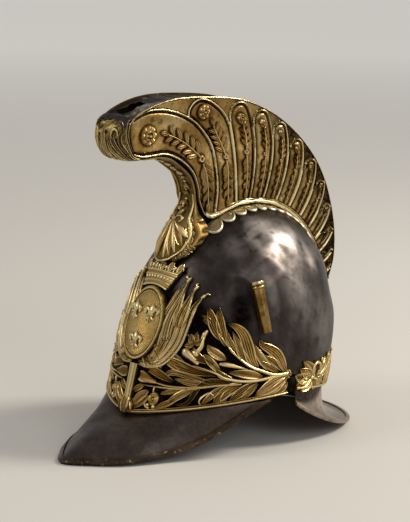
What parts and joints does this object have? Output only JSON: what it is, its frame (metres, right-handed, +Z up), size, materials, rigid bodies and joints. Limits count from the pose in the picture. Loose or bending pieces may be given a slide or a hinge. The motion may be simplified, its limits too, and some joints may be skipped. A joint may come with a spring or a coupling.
{
  "type": "crested cavalry helmet",
  "caption": "Crested cavalry helmet: steel skull, visor and neck guard with a tall godrooned brass comb, brass ornaments and a leather lining.",
  "frame": {"origin": "on the resting plane, under the middle of the overall box", "axes": "+Z up, the front and the visor's point towards -Y, the wearer's left side with the plume socket towards +X"},
  "size_m": [0.2108, 0.3636, 0.3541],
  "materials": {
    "skull_steel": "old polished steel gone dark brown-grey, with scuffed bright places",
    "visor_steel": "dark brown patinated steel",
    "neck_steel": "worn polished steel, warm grey",
    "channel_iron": "dark corroded iron sheet",
    "gilt_brass": "antique gilt brass, dark in the recesses",
    "pale_brass": "pale worn brass",
    "binding_bronze": "dark bronze-brown brass",
    "sweat_leather": "dark brown oiled leather",
    "liner_leather": "brown leather"
  },
  "bodies": {
    "root": {"skull": "skull_steel", "visor": "visor_steel", "visor_binding": "binding_bronze", "neck_guard": "neck_steel", "neck_binding": "neck_steel", "band_left": "gilt_brass", "band_right": "gilt_brass", "band_moulding": "gilt_brass", "rear_band": "gilt_brass", "shield": "gilt_brass", "crown": "gilt_brass", "flags_left": "gilt_brass", "flags_right": "gilt_brass", "stem": "gilt_brass", "comb_left": "gilt_brass", "comb_right": "gilt_brass", "comb_channel": "channel_iron", "comb_terminal": "gilt_brass", "comb_throat": "gilt_brass", "lappets_left": "pale_brass", "lappets_right": "pale_brass", "plume_tube": "gilt_brass", "plume_plate": "gilt_brass", "lappet_rivets": "pale_brass", "visor_rivets": "skull_steel", "neck_rivets": "skull_steel", "band_pins": "gilt_brass", "trophy_pins": "gilt_brass", "sweatband": "sweat_leather", "liner": "liner_leather"}
  },
  "joints": []
}
